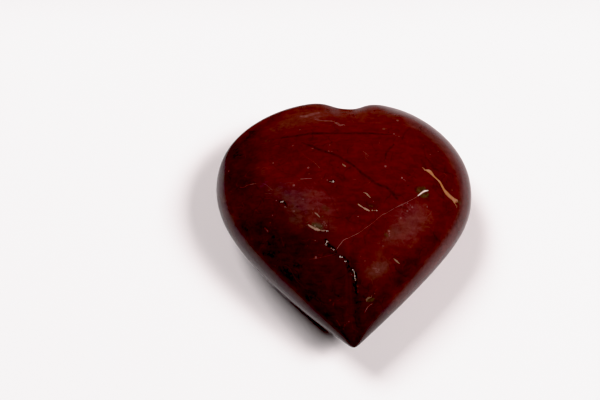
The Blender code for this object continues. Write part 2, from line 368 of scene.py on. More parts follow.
# Thin pale lines: healed cracks, faint streaks near the top, and scratches
PALE_LINES = [
    Mark(((417, 196.6, 0.5), (413, 199, 0.4), (406.6, 202.2, 0.5), (403.6, 203.8, 0.35), (400.4, 205.3, 0.6),
          (395, 207.8, 0.3)), 0.6),
    Mark(((394, 208.4, 0.3), (390, 210.8, 0.4), (386.4, 213, 0.3), (382.6, 214.6, 0.5), (378.6, 217.8, 0.35),
          (372.6, 223, 0.45), (366, 227.6, 0.4), (361, 231.4, 0.45), (356.8, 234, 0.55), (352.6, 235.9, 0.4)),
          0.55),
    Mark(((351.6, 236.4, 0.35), (348, 238.2, 0.4), (344.6, 239.4, 0.6), (341, 243.2, 0.45),
          (338, 247.4, 0.45), (335.8, 250, 0.3)), 0.9),
    Mark(((335.4, 253.6, 0.3), (331.5, 254.9, 0.4), (326, 256.3, 0.3), (316, 258.4, 0.35), (309, 259.4, 0.2)),
          0.5),
    Mark(((301, 116.3, 0.8), (305, 116.5, 1.5), (309, 115.4, 1.3), (312.6, 113.9, 1.4), (318.4, 112.8, 0.9)),
          0.5),
    Mark(((315.8, 119.2, 0.7), (318.2, 120, 1.2), (320.6, 120.6, 0.5), (326, 120.8, 0.6),
          (331.6, 121.1, 0.6)), 0.5),
    Mark(((335.8, 122.7, 1.1), (337.8, 123.8, 1.4), (339.8, 125.2, 1.4), (342.2, 124.9, 0.8),
          (344, 124.5, 0.3)), 0.6),
    Mark(((300.4, 178.9, 0.4), (303, 178.9, 0.6), (306, 178.6, 0.5), (312, 178.5, 0.35)), 0.7),
    Mark(((240.2, 187.2, 0.7), (243.4, 187.5, 0.3), (246.6, 185.7, 0.5), (249.6, 184.6, 0.5),
          (252, 184.2, 0.9), (254.6, 183.7, 0.6)), 0.45),
    Mark(((254.6, 183.7, 0.4), (260.4, 182.9, 0.3), (265.6, 184.5, 0.4), (269.8, 188, 0.4),
          (272.7, 190.4, 0.6)), 0.2),
    Mark(((264.8, 228.2, 0.8), (266.4, 229.7, 1), (267.8, 231.3, 1.2)), 0.5),
    Mark(((264, 193.6, 0.3), (272, 193.4, 0.3)), 0.2),
    Mark(((264, 198.4, 0.35), (272, 198.3, 0.35)), 0.3),
    Mark(((372.4, 303.6, 0.5), (369.6, 305.3, 0.7), (367.4, 307.6, 0.8), (366, 310, 0.8),
          (364.8, 312.2, 0.8)), 0.6),
    Mark(((281, 237, 0.6), (282.4, 241, 0.4), (284.2, 247.5, 0.5)), 0.12),
    Mark(((283, 265, 0.3), (288, 266.6, 0.4), (292, 272.6, 0.5), (297, 281, 0.4), (302.4, 285.6, 0.6)), 0.16),
    Mark(((302, 153, 0.8), (306, 157, 0.5), (311.6, 160.4, 0.5), (317, 165, 0.8), (320, 168.4, 0.5)), 0.22),
    Mark(((336.4, 320, 0.5), (338.4, 323, 0.3), (339.8, 325.3, 0.8)), 0.5),
    Mark(((333.9, 302.9, 0.7), (333.1, 304.9, 0.8)), 0.4),
    Mark(((362.4, 150.8, 0.6), (366.4, 153.8, 0.8), (368.9, 156, 0.7)), 0.25),
    Mark(((365, 154, 0.5), (365.6, 157.6, 0.7), (367.6, 159.6, 0.5)), 0.2),
    Mark(((444, 173.2, 0.6), (446.6, 175.4, 0.7)), 0.25),
    Mark(((352.2, 179.4, 0.6), (356, 179.5, 0.7)), 0.3),
    Mark(((372, 268, 0.6), (376.4, 268.8, 0.9), (379.6, 269.4, 0.5)), 0.3),
    Mark(((376, 272.3, 0.6), (380, 272.5, 0.6)), 0.3),
    Mark(((-30, 16.4, 0.1), (-26.5, 17.8, 0.15), (-22, 16.9, 0.1), (-18.4, 15, 0.15), (-13.6, 16.3, 0.1),
          (-10.4, 15.2, 0.15)), 0.7, True),
    Mark(((-10, 14.8, 0.1), (-6.4, 13, 0.1), (-2.4, 11.4, 0.15), (2.6, 11.9, 0.1), (7, 10, 0.1)), 0.45, True),
    Mark(((-9.8, 15.4, 0.1), (-7.9, 19, 0.1), (-5.2, 22.4, 0.15), (-4.6, 27, 0.1)), 0.4, True),
    Mark(((17.4, 9.4, 0.1), (21, 7.2, 0.15), (26.4, 6.4, 0.1)), 0.5, True),
    Mark(((-12, -8.6, 0.15), (-9.4, -9, 0.2), (-7.8, -8.7, 0.1)), 0.5, True),
    Mark(((3.4, -24, 0.1), (4, -21.6, 0.15), (5.4, -20.4, 0.1)), 0.5, True),
    Mark(((20, 27.6, 0.1), (23.4, 26.2, 0.15)), 0.4, True),
]

# Small pale specks, from the brighter ones to those that are barely there
PALE_SPECKS = [
    *spots(0.6, (-19.2, -1.4, 0.3), (6.2, 20.4, 0.3), (24, 15.6, 0.3), (-3, -18.2, 0.25), below=True),
    *spots(0.4, (-31, 8.2, 0.3), (-14.2, 24.6, 0.3), (-6.8, 8.4, 0.25), (10.8, 3.2, 0.3), (30.2, 12.8, 0.3),
           (12.4, 28.8, 0.3), (-16.6, -12.2, 0.25), (14, -8.4, 0.3), (1.2, -28.6, 0.25), (-22.4, 28, 0.3),
           (19.6, -1, 0.25), (-2.2, 32, 0.3), (26.8, 21.4, 0.25), (-34.4, 14, 0.3), below=True),
    *spots(0.7, (293.8, 185.2, 1.1), (389, 231.2, 1.1), (402, 177.8, 1), (276.3, 200.5, 0.8)),
    *spots(0.8, (315.8, 257.4, 1.4)),
    *spots(0.45, (308.3, 167.6, 1.2), (385.5, 166.3, 1.1), (407.5, 203.2, 0.7), (358.2, 216.5, 1),
           (452, 190, 1), (412.3, 207.2, 1), (327.3, 180, 0.9), (285.2, 206.8, 0.9), (397.5, 120.5, 0.9),
           (400.7, 218, 0.9), (330.2, 300.2, 1.1), (357.6, 286.2, 1.1), (357.9, 292, 1), (315.3, 240.6, 0.9),
           (228.7, 171, 0.9), (344.8, 325, 0.7), (326.5, 225.3, 0.6), (321.5, 226, 0.5)),
    *spots(0.28, (309, 174, 0.9), (384, 128.8, 1.2), (394, 133.8, 1), (399, 136.6, 0.9), (423.3, 144.8, 0.8),
           (405.2, 180.8, 0.9), (389.5, 235.8, 0.9), (383, 245.8, 1), (303, 199.2, 0.7), (313, 209.2, 0.8),
           (373.3, 201.3, 0.9), (407.4, 211, 1), (427.3, 206.7, 1.1), (270.2, 222.8, 0.8),
           (275.3, 265.8, 0.8), (343.4, 329, 0.7), (349, 321.6, 1.2), (365, 261, 1), (360.7, 256.2, 0.6),
           (328.3, 151, 0.8), (331.8, 151.3, 0.9), (329.8, 145, 0.8), (293, 145.5, 1.3), (312.5, 148.5, 1),
           (231, 191.3, 0.7), (374.8, 293.5, 0.9), (335, 186, 0.8), (331.3, 176.8, 0.5), (294, 211.2, 1.2),
           (324, 222, 1)),
]

# Dark veins, and patches that run to black, brown and grey
DARK_VEINS = [
    Mark(((280, 138.4, 0.6), (288, 136.9, 0.9), (298, 135.5, 0.9), (305, 134.5, 1.1), (312, 133.4, 1.1),
          (335, 133.3, 1), (352, 133.4, 1.2), (368, 133.2, 1.1), (380, 134, 0.7), (392, 134.3, 0.5))),
    Mark(((304, 143.6, 0.8), (313, 146.4, 1), (320, 150, 1.2), (328, 152.4, 1), (336, 155, 1.2),
          (344, 160, 1.1), (352, 164.6, 1), (358, 169.4, 1.1), (362, 173.4, 1.4), (369, 178, 1.3),
          (374, 182.4, 1.5), (380, 185.2, 1.4), (386, 187, 1.3), (391, 191.6, 1.4), (397, 198.6, 1.3))),
    Mark(((394, 144.6, 0.9), (389.6, 148.6, 1.4), (386.4, 152.6, 1.2), (385.4, 159, 0.7)), 0.8),
    Mark(((421.6, 160.4, 1.2), (423.6, 164.6, 1.6), (426, 168, 1)), 0.7),
    Mark(((318, 181, 0.5), (330, 196, 0.6), (338, 214, 0.8), (352, 226, 0.5)), 0.35),
    Mark(((268, 160, 0.5), (282, 172, 0.6), (296, 176, 0.5), (310, 190, 0.6)), 0.35),
    Mark(((410, 128, 0.6), (404, 134, 1), (402, 140, 0.6)), 0.5),
    Mark(((433, 232, 0.6), (436, 238, 1), (440, 241.4, 1)), 0.7),
    Mark(((-26, 2, 0.15), (-21, -0.6, 0.3), (-16.6, -1.2, 0.4), (-12.4, 0.8, 0.3), (-8, 2.6, 0.2)),
          0.8, True),
    Mark(((-5.4, 5, 0.2), (-1, 6.6, 0.35), (3, 5.2, 0.25), (7, 5.6, 0.3), (12, 9, 0.2)), 0.6, True),
    Mark(((-10.4, 27, 0.2), (-13, 22, 0.35), (-13.4, 17, 0.3), (-12, 13, 0.15)), 0.7, True),
    Mark(((-9, -2, 0.15), (-7.4, -6, 0.3), (-7, -10.6, 0.2)), 0.5, True),
]
BLACK_PATCHES = [
    Mark(((243.5, 226, 3.2), (246.5, 228.5, 2.4))),
    Mark(((273.6, 236.6, 2.6), (277, 238.6, 2))),
    Mark(((264, 253.4, 2), (272, 254.2, 3))),
    Mark(((281, 268.6, 2.2), (287, 272, 3.4), (289.6, 276.4, 2.4))),
    Mark(((294, 264.8, 2.2), (299.5, 264.8, 3), (302, 265.6, 2))),
    Mark(((282, 241.6, 2.2), (284.6, 247, 1.8)), 0.8),
    Mark(((237.4, 157.6, 1.8), (239, 159, 1.6)), 0.9),
    Mark(((246, 181.4, 1.6), (248.6, 177.8, 1.8)), 0.7),
    Mark(((231.6, 187.6, 2), (230, 193, 2.2)), 0.5),
    Mark(((306, 296.6, 2.4), (309.6, 299, 2.2)), 0.8),
    Mark(((325, 264, 2), (324, 270, 1.8)), 0.5),
    Mark(((376, 301, 1.6), (374, 303, 1.4)), 0.7),
    Mark(((306, 226.4, 1.6), (306.4, 228.6, 1.4)), 0.7),
    Mark(((328.6, 242.6, 1.6), (330.4, 251.2, 1.8), (336.4, 254.4, 1.6)), 0.9),
    Mark(((344.6, 257.6, 1.6), (349, 258.6, 2.2), (350.4, 263, 2), (346.6, 266, 2.2), (350, 272, 2.8),
          (354.4, 284, 2.4), (355.6, 293, 2)), 0.85),
    Mark(((370, 204.4, 1.4), (374.4, 206.6, 1.8)), 0.6),
    Mark(((354, 205, 1.8), (352.6, 206, 1.4)), 0.45),
    Mark(((415.6, 189.4, 1), (416.8, 187.2, 1.2)), 0.7),
    Mark(((427.6, 194.6, 1.2), (428, 199, 1.4)), 0.7),
    Mark(((346.6, 160.4, 0.9), (351.6, 163.6, 0.8)), 0.6),
    Mark(((399.6, 206.6, 0.7), (404.4, 207.8, 0.9), (407.4, 208.4, 0.6)), 0.6),
    Mark(((395.4, 257.4, 0.9), (398.8, 257.4, 0.8)), 0.6),
    Mark(((385.6, 231, 1.2), (384.8, 237.6, 1)), 0.6),
    Mark(((372, 237.6, 2), (380, 237, 2.4)), 0.3),
    Mark(((404, 250.6, 2.4), (406, 272, 5), (412, 274, 4)), 0.3),
    Mark(((-16, -4, 0.8), (-13, -7, 1.2), (-8, -11, 0.8)), 0.8, True),
    Mark(((17.6, 14.4, 0.6), (18.8, 12, 0.8), (18, 10, 0.5)), 0.7, True),
    Mark(((-10.6, 17.4, 0.6), (-8.8, 17.6, 0.8)), 0.6, True),
    Mark(((21, 22, 1), (25, 18, 0.8)), 0.6, True),
    Mark(((6, -10, 0.8), (8, -13.4, 1)), 0.6, True),
    Mark(((-28, 24, 0.8), (-30.6, 20.4, 1)), 0.5, True),
]
OLIVE_PATCHES = [
    Mark(((313.6, 224.4, 1.8), (316.8, 225.6, 2.8), (320.2, 227.2, 2.6))),
    Mark(((324, 207.6, 2.4), (328, 210, 1.6)), 0.35),
    Mark(((417.4, 191.6, 2), (420.4, 189.6, 3), (423.6, 188.4, 2.4))),
    Mark(((421.8, 196.4, 2), (424.8, 195.2, 3), (427.4, 194.4, 2.2))),
    Mark(((369.6, 300.4, 2.6), (372.4, 299.6, 2.6))),
    Mark(((371.6, 206.4, 1.6), (367.6, 205, 1.4)), 0.7),
    Mark(((259, 133, 3), (262, 139, 3.4), (269, 141, 2.4)), 0.5),
    Mark(((403.6, 135.8, 1.8), (402.4, 138.2, 1.4)), 0.4),
    Mark(((460.4, 203, 1.6), (458.4, 202, 1.4)), 0.5),
    Mark(((385.4, 234.6, 1.2), (387.6, 236, 1.2)), 0.8),
    Mark(((-21, 10.6, 0.8), (-18.4, 9.4, 0.7)), 0.7, True),
    Mark(((13.8, 12.4, 0.7), (14.4, 10.8, 0.8)), 0.7, True),
    Mark(((0.2, 26.4, 0.8), (1.8, 25.6, 0.6)), 0.6, True),
]
# Pale veils. Those on the top, except the small one on the left at 258..262, are painted sheen: the
# reflections of the two lamps by the lobes and of the warm room along the upper edge. The ones below are the
# stone's own.
PALE_VEILS_AND_PAINTED_SHEEN = [
    Mark(((367.6, 273.6, 4.4), (374.6, 269.6, 6.4), (382, 265.4, 5.2))),
    Mark(((372, 251.6, 4), (378, 253, 5), (380.4, 260, 5)), 0.5),
    Mark(((394, 232, 4.4), (384, 241, 5.4)), 0.5),
    Mark(((276, 129, 4), (288, 123, 5), (302, 119, 5), (316, 116, 4)), 0.7),
    Mark(((276, 196.4, 3), (284, 199, 3)), 0.35),
    Mark(((258, 168, 2.6), (262, 172, 2.6)), 0.35),
    Mark(((4, 16, 1.4), (9, 15, 1.8), (12, 17, 1.4)), 0.8, True),
    Mark(((-24, 3, 1.2), (-20, 1, 1.4)), 0.6, True),
]

# Broad, soft lighter and darker clouds. Some are the stone's own tone; others are painted light and shade
# along the edges and painted sheen on the domes. Their strength is in halvings or doublings of the stone's
# colour.
CLOUDS_AND_PAINTED_LIGHT = [
    # Painted shade along the left and upper left edge, which darkens the edge's reflection
    Mark(((231, 180, 7), (235, 162, 7)), -0.15),
    Mark(((237, 151, 7), (243, 142, 7), (252, 133, 6)), -0.75),
    Mark(((252, 133, 6), (268, 121, 5.5), (282, 112.5, 4)), -0.6),
    Mark(((245, 184, 10), (247, 166, 10), (262, 140, 9), (282, 126, 6)), -0.3),
    Mark(((426, 134, 8), (438, 158, 9), (447, 184, 9), (447, 208, 9)), -0.3),
    Mark(((434, 236, 8), (414, 256, 9), (396, 276, 10), (384, 292, 8)), -0.45),
    Mark(((348, 204, 8), (366, 205, 8), (386, 200, 8)), -0.25),
    Mark(((298, 234, 9), (328, 236, 8)), -0.4),
    Mark(((262, 224, 8),), -0.35),
    Mark(((270, 150, 14), (300, 146, 14)), -0.17),
    Mark(((278, 240, 12), (300, 250, 12)), -0.27),
    Mark(((340, 190, 12), (350, 215, 12)), -0.12),
    Mark(((322, 211, 7),), -0.2),
    Mark(((402, 280, 6), (416, 268, 6)), -0.45),
    # Lighter stone on the left; the first of these also paints in part of the left lamp's sheen
    Mark(((262, 178, 14), (262, 200, 14)), 0.35),
    Mark(((232, 198, 9), (238, 212, 9)), 0.35),
    # Painted light along the left, lower left and lower right edges
    Mark(((238, 224, 6), (252, 245, 6), (270, 266, 6), (288, 288, 6), (304, 305, 5)), 0.4),
    Mark(((222, 196, 5), (226, 215, 5), (232, 232, 5), (240, 247, 5)), 0.6),
    Mark(((450, 243, 5), (439, 259, 5), (428, 271, 5)), 0.35),
    # Lighter stone under the two sheens, with part of each lamp's sheen painted in
    Mark(((306, 204, 12), (318, 200, 12)), 0.15),
    Mark(((422, 214, 14), (410, 234, 14)), 0.35),
    Mark(((18, 12, 12), (10, -2, 10)), -0.5, True),
    Mark(((-20, 10, 12), (-14, 22, 10)), 0.2, True),
]

MARKS = {
    "ochre_vein": OCHRE_VEIN,
    "quartz": QUARTZ_LENS,
    "cream_fleck": CREAM_FLECKS,
    "pale_line": PALE_LINES,
    "pale_speck": PALE_SPECKS,
    "dark_vein": DARK_VEINS,
    "black_patch": BLACK_PATCHES,
    "olive_patch": OLIVE_PATCHES,
    "pale_veil_and_painted_sheen": PALE_VEILS_AND_PAINTED_SHEEN,
    "pit": PITS,
}


def half_outline(lobe):
    """Points of one half of the outline, in millimetres, from the cleft over the lobe and down to the tip."""
    cleft = Vector((*CLEFT, 0.0))
    tip = Vector((*TIP, 0.0))
    top = Vector((*lobe.top, 0.0))
    widest = Vector((*lobe.widest, 0.0))
    across = Vector((top.x - cleft.x, 0.0, 0.0)) * CLEFT_ROUNDING
    outward = Vector((widest.x - top.x, 0.0, 0.0))
    drop = Vector((0.0, top.y - widest.y, 0.0))
    fall = Vector((0.0, widest.y - tip.y, 0.0))
    side = math.copysign(1.0, widest.x)
    up_flank = Vector((side * math.cos(lobe.slope), math.sin(lobe.slope), 0.0))
    reach = (widest - tip).length

    notch = interpolate_bezier(cleft, cleft + across, top - across, top, CURVE_STEPS)
    shoulder = interpolate_bezier(
        top, top + outward * lobe.crown, widest + drop * lobe.shoulder, widest, CURVE_STEPS)
    flank = interpolate_bezier(
        widest, widest - fall * lobe.flank, tip + up_flank * reach * lobe.toe, tip, CURVE_STEPS)
    return notch[:-1] + shoulder[:-1] + flank


def bell(turn, middle, reach, power):
    """A smooth hump of height 1 round a turn of the outline."""
    away = (turn - middle + math.pi) % (2 * math.pi) - math.pi
    return np.exp(-np.abs(away / reach) ** power)


def rounded(outline):
    """The outline with its corners rounded off by the grinding, and least of all at the tip."""
    waves = np.fft.fft(outline)
    order = np.fft.fftfreq(STATIONS, 1.0 / STATIONS)
    soft = np.fft.ifft(waves * np.exp(-((order / SHARPEST_WAVE) ** 2)))
    sharp = np.fft.ifft(waves * np.exp(-((order / TIP_WAVE) ** 2)))
    turn = np.linspace(0.0, 2 * math.pi, STATIONS, endpoint=False)
    return soft + (sharp - soft) * bell(turn, 0.0, TIP_ZONE, 2)


def outline_waves():
    """The outline as waves round it, in metres: each wave's order and its strength."""
    right = half_outline(RIGHT_LOBE)
    left = half_outline(LEFT_LOBE)
    loop = right[::-1] + left[1:]
    points = np.array([complex(p.x, p.y) for p in loop]) * MM
    along = np.concatenate([[0.0], np.cumsum(np.abs(np.diff(points)))])
    stations = np.linspace(0.0, along[-1], STATIONS, endpoint=False)
    outline = rounded(np.interp(stations, along, points.real) + 1j * np.interp(stations, along, points.imag))
    outline -= complex(outline.real.max() + outline.real.min(), outline.imag.max() + outline.imag.min()) / 2
    order = np.fft.fftfreq(STATIONS, 1.0 / STATIONS)
    kept = np.abs(order) < 2 * TIP_WAVE
    return order[kept], (np.fft.fft(outline) / STATIONS)[kept]


def plan_places(share, turn):
    """Where the points of the stone lie in plan. Share is 0 at the crown and 1 at the rim; turn goes round
    from the tip by the right lobe. Each wave of the outline fades inwards with its own power of the share."""
    order, strength = outline_waves()
    places = np.zeros(len(share), complex)
    for n, wave in zip(order, strength):
        places += wave * share ** abs(n) * np.exp(1j * n * turn)
    return places


def leanness(turn):
    """How lean the stone is at each turn round the outline, from 0 for a plain ellipse to 1."""
    tip = TIP_LEAN * bell(turn, 0.0, TIP_LEAN_REACH, 2) + NOSE_LEAN * bell(turn, 0.0, NOSE_REACH, 2)
    return LEAN * bell(turn, LEAN_AT, LEAN_REACH, LEAN_BLUNTNESS) + tip


def rim_rise(share, turn):
    """How far the edge sits above the level rim: a little all along the lean end, and more in the cleft."""
    outer = np.clip((share - REST_SPOT) / (1.0 - REST_SPOT), 0.0, 1.0)
    end = LEAN_RIM_RISE * bell(turn, LEAN_AT, LEAN_REACH, LEAN_BLUNTNESS) * outer ** 5
    return end + CLEFT_RIM_RISE * bell(turn, CLEFT_AT, CLEFT_REACH, 2) * outer ** 12


def section(share, turn):
    """The height of the puffed section at a share of the way out to the rim, as a part of its full height."""
    rest = 1.0 - share ** 2
    full = np.sqrt(rest)
    lean = np.sqrt((rest ** 2 + LEAN_EDGE * rest) / (1.0 + LEAN_EDGE))
    start = np.clip((share - REST_SPOT) / (LEAN_FROM - REST_SPOT), 0.0, 1.0)
    return full - leanness(turn) * start ** 2 * (3.0 - 2.0 * start) * (full - lean)


def ring_start(ring):
    """The number of points inside a ring of the disc, whose rings have 1, 6, 12, 18... points."""
    return 0 if ring == 0 else 1 + 3 * ring * (ring - 1)


def disc_faces():
    """The triangles of an even disc of RINGS rings, seen from above."""
    faces = []
    for ring in range(1, RINGS + 1):
        outer, inner = ring_start(ring), ring_start(ring - 1)
        around, within = 6 * ring, max(6 * (ring - 1), 1)
        for sector in range(6):
            for k in range(ring):
                a = outer + sector * ring + k
                b = outer + (sector * ring + k + 1) % around
                c = inner + (sector * (ring - 1) + k) % within
                faces.append((a, b, c))
                if k < ring - 1:
                    d = inner + (sector * (ring - 1) + k + 1) % within
                    faces.append((b, d, c))
    return faces


def flat_heart():
    """The stone in plan: an upper and a lower sheet that share the rim, flat but for the rises of the edge.
    Its 'lift' says how far each point goes up or down: 1 at the crown, 0 at the rim, near -1 at the belly."""
    ring_of = np.concatenate([[0]] + [np.full(6 * ring, ring) for ring in range(1, RINGS + 1)])
    turn = np.concatenate(
        [[0.0]] + [np.linspace(0.0, 2 * math.pi, 6 * ring, endpoint=False) for ring in range(1, RINGS + 1)])
    slope = ring_of / RINGS * math.pi / 2
    share = np.sin(slope)
    places = plan_places(share, turn)
    upper_lift = section(share, turn)
    lower_lift = -np.minimum(upper_lift, math.sqrt(1.0 - REST_SPOT ** 2))
    rise = rim_rise(share, turn)
    inside = ring_of < RINGS

    faces = disc_faces()
    lower_of = np.arange(len(places))
    lower_of[inside] = len(places) + np.arange(inside.sum())
    lower_faces = [tuple(int(lower_of[v]) for v in face[::-1]) for face in faces]
    everywhere = np.concatenate([places, places[inside]])
    lift = np.concatenate([upper_lift, lower_lift[inside]])
    rise = np.concatenate([rise, rise[inside]])

    mesh = bpy.data.meshes.new("flat_heart")
    mesh.from_pydata([(p.real, p.imag, z) for p, z in zip(everywhere, rise)], [], faces + lower_faces)
    attribute = mesh.attributes.new("lift", "FLOAT", "POINT")
    attribute.data.foreach_set("value", lift)
    return mesh


class Tree:
    """A short way to write node trees: most calls add a node and return its main output."""

    def __init__(self, tree):
        self.tree = tree

    def node(self, kind, inputs=(), **settings):
        """Adds a node and returns it. Inputs are pairs of a socket's name or number, and a value or another
        node's output."""
        node = self.tree.nodes.new(kind)
        for name, value in settings.items():
            setattr(node, name, value)
        for socket, value in dict(inputs).items():
            if isinstance(value, bpy.types.NodeSocket):
                self.tree.links.new(value, node.inputs[socket])
            else:
                node.inputs[socket].default_value = value
        return node

    def math(self, operation, *values, clamp=False):
        """A sum, product or other operation on numbers."""
        return self.node("ShaderNodeMath", enumerate(values), operation=operation, use_clamp=clamp).outputs[0]

    def vector_math(self, operation, *values):
        """The same on vectors."""
        node = self.node("ShaderNodeVectorMath", enumerate(values), operation=operation)
        return node.outputs["Value" if operation in ("LENGTH", "DOT_PRODUCT") else "Vector"]

    def scaled(self, vector, factor):
        """A vector or colour times a number."""
        node = self.node("ShaderNodeVectorMath", {0: vector, "Scale": factor}, operation="SCALE")
        return node.outputs["Vector"]

    def noise(self, place, size, detail=2.0, distortion=0.0):
        """Soft random values round 0.5, in lumps of this size."""
        return self.node("ShaderNodeTexNoise", {
            "Vector": place, "Scale": 1.0 / size, "Detail": detail, "Distortion": distortion}).outputs[0]

    def cell_edges(self, place, scale):
        """The distance to the nearest edge between random cells."""
        return self.node("ShaderNodeTexVoronoi", {
            "Vector": place, "Scale": scale}, feature="DISTANCE_TO_EDGE").outputs["Distance"]

    def ramp(self, value, start, end, low=0.0, high=1.0):
        """A smooth step from low to high as the value goes from start to end."""
        return self.node("ShaderNodeMapRange", {
            "Value": value, "From Min": start, "From Max": end, "To Min": low, "To Max": high},
            interpolation_type="SMOOTHSTEP").outputs[0]

    def mix(self, share, first, second):
        """The first colour, with a share of the second mixed in."""
        return self.node("ShaderNodeMix", {0: share, 6: first, 7: second}, data_type="RGBA").outputs[2]

    def mark(self, name, place, finish):
        """How much of a mark there is. Its coordinates come from an attribute, in half widths from its middle
        line, and its strength is the attribute's third number."""
        stored = self.node("ShaderNodeAttribute", attribute_name=name).outputs["Vector"]
        away = self.vector_math("LENGTH", self.vector_math("MULTIPLY", stored, (1.0, 1.0, 0.0)))
        rough = self.math("MULTIPLY_ADD", self.noise(place, EDGE_GRAIN, 3.0), finish.ragged, away)
        away = self.math("SUBTRACT", rough, finish.ragged * 0.5)
        strength = self.node("ShaderNodeSeparateXYZ", {0: stored}).outputs["Z"]
        return self.math("MULTIPLY", self.ramp(away, finish.end, finish.start), strength)


def new_geometry_tree(name, sizes):
    """A Geometry Nodes tree with a geometry input and output and named number inputs for its sizes."""
    tree = bpy.data.node_groups.new(name, "GeometryNodeTree")
    tree.interface.new_socket("Geometry", in_out="INPUT", socket_type="NodeSocketGeometry")
    for size in sizes:
        tree.interface.new_socket(size, in_out="INPUT", socket_type="NodeSocketFloat")
    tree.interface.new_socket("Material", in_out="INPUT", socket_type="NodeSocketMaterial")
    tree.interface.new_socket("Geometry", in_out="OUTPUT", socket_type="NodeSocketGeometry")
    return Tree(tree)


def puffing_tree():
    """Lifts the flat heart into its two domes, and leaves the slight waves of grinding by hand."""
    t = new_geometry_tree("puff_the_heart", [
        "Upper height", "Lower height", "Rim height", "Wave depth", "Wave size", "Waves from"])
    given = t.node("NodeGroupInput").outputs
    lift = t.node("GeometryNodeInputNamedAttribute", {"Name": "lift"}, data_type="FLOAT").outputs["Attribute"]
    above = t.math("GREATER_THAN", lift, 0.0)
    height = t.node("ShaderNodeMix", {
        0: above, 2: given["Lower height"], 3: given["Upper height"]}).outputs[0]
    rise = t.math("MULTIPLY_ADD", lift, height, given["Rim height"])
    up = t.node("ShaderNodeCombineXYZ", {"Z": rise}).outputs[0]
    domed = t.node("GeometryNodeSetPosition", {"Geometry": given["Geometry"], "Offset": up}).outputs[0]

    waves = t.node("ShaderNodeTexNoise", {
        "Scale": t.math("DIVIDE", 1.0, given["Wave size"]), "Detail": 1.0}).outputs[0]
    place = t.node("GeometryNodeInputPosition").outputs[0]
    clear_of_rest = t.node("ShaderNodeMapRange", {
        "Value": t.node("ShaderNodeSeparateXYZ", {0: place}).outputs["Z"],
        "From Min": 0.0, "From Max": given["Waves from"], "To Min": 0.0, "To Max": 1.0}).outputs[0]
    depth = t.math("MULTIPLY", t.math("MULTIPLY", waves, given["Wave depth"]), clear_of_rest)
    inward = t.scaled(t.node("GeometryNodeInputNormal").outputs[0], t.math("MULTIPLY", depth, -1.0))
    ground = t.node("GeometryNodeSetPosition", {"Geometry": domed, "Offset": inward}).outputs[0]

    smooth = t.node("GeometryNodeSetShadeSmooth", {"Geometry": ground}).outputs[0]
    whole = t.node("GeometryNodeRealizeInstances", {"Geometry": smooth}).outputs[0]
    finished = t.node("GeometryNodeSetMaterial", {"Geometry": whole, "Material": given["Material"]})
    t.node("NodeGroupOutput", {0: finished.outputs[0]})
    return t.tree


def made_by_tree(name, mesh, tree, values):
    """Runs a Geometry Nodes tree on a mesh and returns the result as an object with a plain mesh."""
    maker = bpy.data.objects.new(name + "_maker", mesh)
    bpy.context.scene.collection.objects.link(maker)
    modifier = maker.modifiers.new("tree", "NODES")
    modifier.node_group = tree
    for item in tree.interface.items_tree:
        if item.in_out == "INPUT" and item.name in values:
            modifier[item.identifier] = values[item.name]
    evaluated = maker.evaluated_get(bpy.context.evaluated_depsgraph_get())
    made = bpy.data.meshes.new_from_object(evaluated)
    made.name = name
    maker.modifiers.clear()
    bpy.data.objects.remove(maker)
    piece = bpy.data.objects.new(name, made)
    bpy.context.scene.collection.objects.link(piece)
    return piece


def view_axes():
    """The camera's place, and its right, up and forward directions."""
    back = Vector((0.0, -math.cos(VIEW_ELEVATION), math.sin(VIEW_ELEVATION)))
    right = Vector((1.0, 0.0, 0.0))
    return VIEW_AIM + back * VIEW_DISTANCE, right, back.cross(right), -back


def on_stone(surface, x, y, below):
    """The point of the stone, and its normal, that shows at a place of the photograph's frame, or that is
    straight above a place in plan on the underside."""
    if below:
        point, normal, *_ = surface.ray_cast(Vector((x * MM, y * MM, -0.1)), Vector((0.0, 0.0, 1.0)))
    else:
        eye, right, up, forward = view_axes()
        reach = FRAME[0] / 2 / math.tan(VIEW_WIDTH / 2)
        way = forward * reach + right * (x - FRAME[0] / 2) + up * (FRAME[1] / 2 - y)
        point, normal, *_ = surface.ray_cast(eye, way.normalized())
    return point, normal


def smooth_path(path):
    """Closely spaced points on a smooth curve through the path's points."""
    given = np.array(path)
    if len(given) == 1:
        return given
    padded = np.vstack([2 * given[0] - given[1], given, 2 * given[-1] - given[-2]])
    t = np.linspace(0.0, 1.0, PATH_STEPS, endpoint=False)[:, None]
    pieces = [
        0.5 * (2 * b + (c - a) * t + (2 * a - 5 * b + 4 * c - d) * t ** 2 + (3 * b - a - 3 * c + d) * t ** 3)
        for a, b, c, d in zip(padded, padded[1:], padded[2:], padded[3:])]
    return np.vstack(pieces + [given[-1:]])


def laid_path(surface, mark):
    """The mark's path on the stone: its points, normals and half widths in metres."""
    curve = smooth_path(mark.path)
    ways = np.gradient(curve[:, :2], axis=0) if len(curve) > 1 else np.array([[1.0, 0.0]])
    points, normals, widths = [], [], []
    for (x, y, width), way in zip(curve, ways):
        width = max(width, THINNEST)
        point, normal = on_stone(surface, x, y, mark.below)
        if point is None:
            continue
        side = np.array([-way[1], way[0]]) / np.linalg.norm(way) * width
        one, _ = on_stone(surface, x + side[0], y + side[1], mark.below)
        other, _ = on_stone(surface, x - side[0], y - side[1], mark.below)
        spread = (one - other).length / 2 if one and other else width * PIXEL
        points.append(point)
        normals.append(normal)
        widths.append(min(spread, WIDEST_SPREAD * width * (MM if mark.below else PIXEL)))
    return np.array(points), np.array(normals), np.array(widths)


